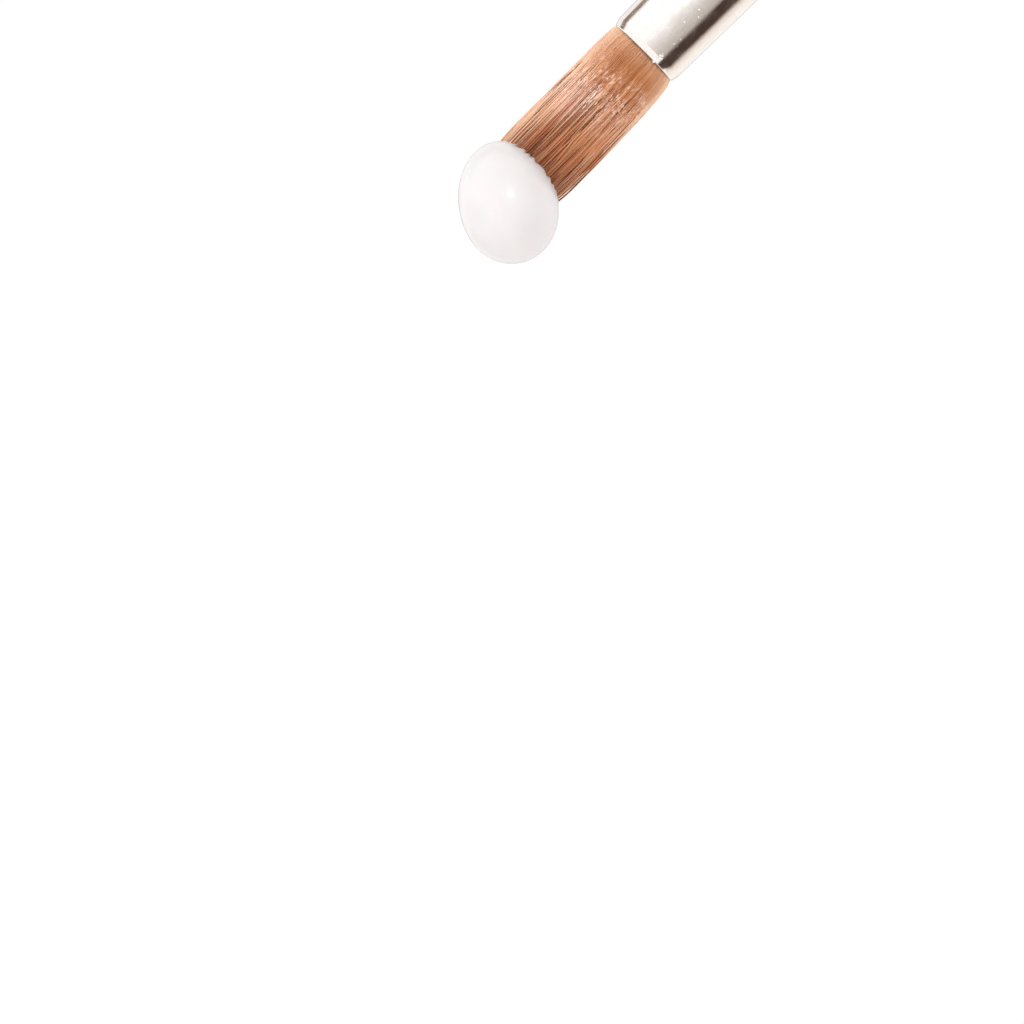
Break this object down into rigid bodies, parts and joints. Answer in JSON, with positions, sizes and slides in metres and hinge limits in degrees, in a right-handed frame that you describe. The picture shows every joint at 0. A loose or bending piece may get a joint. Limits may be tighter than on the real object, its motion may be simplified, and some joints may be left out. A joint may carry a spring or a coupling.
{
  "type": "acrylic nail brush",
  "caption": "Acrylic nail brush: round kolinsky tuft in a crimped nickel ferrule on a turned lacquered wood handle, with a bead of wet white acrylic on its tip.",
  "frame": {"origin": "the grip: on the brush's axis, at the ferrule's rear edge, where finger and thumb hold it", "axes": "+Z along the brush's axis, from the tip towards the handle's tail; X is the flattened tip's wide way, and the bead sags towards +X"},
  "size_m": [0.0112, 0.0109, 0.182],
  "materials": {
    "lacquered_wood": "stained dark red-brown and clear lacquered, gloss, with the grain showing along it",
    "tail_enamel": "dipped gloss enamel",
    "nickel": "bright nickel plate over brass, polished, with faint drawing marks and specks of powder",
    "adhesive": "set handle glue",
    "epoxy": "cured epoxy, clear amber",
    "thread": "waxed cotton thread",
    "bound_hair": "tightly bound red-brown animal hair",
    "hair": "red-brown animal hair, fine and straight, wet and glossy towards the tip",
    "wet_acrylic": "wet white acrylic, smooth and translucent"
  },
  "bodies": {
    "brush": {"handle": "lacquered_wood", "tail_dip": "tail_enamel", "ferrule": "nickel", "handle_adhesive": "adhesive", "epoxy_plug": "epoxy", "binding_thread": "thread", "hair_root": "bound_hair"},
    "tuft": {"hair_tuft": "hair"},
    "bead": {"acrylic_bead": "wet_acrylic"}
  },
  "joints": [
    {"name": "tuft_flex", "type": "hinge", "parent": "brush", "child": "tuft", "pos_m": [0, 0, -0.0382], "axis": [1, 0, 0], "range_deg": [-35, 35], "stiffness_Nm_per_rad": 0.01},
    {"name": "bead_release", "type": "slide", "parent": "tuft", "child": "bead", "axis": [0, 0, -1], "range_m": [0, 0.03]}
  ]
}
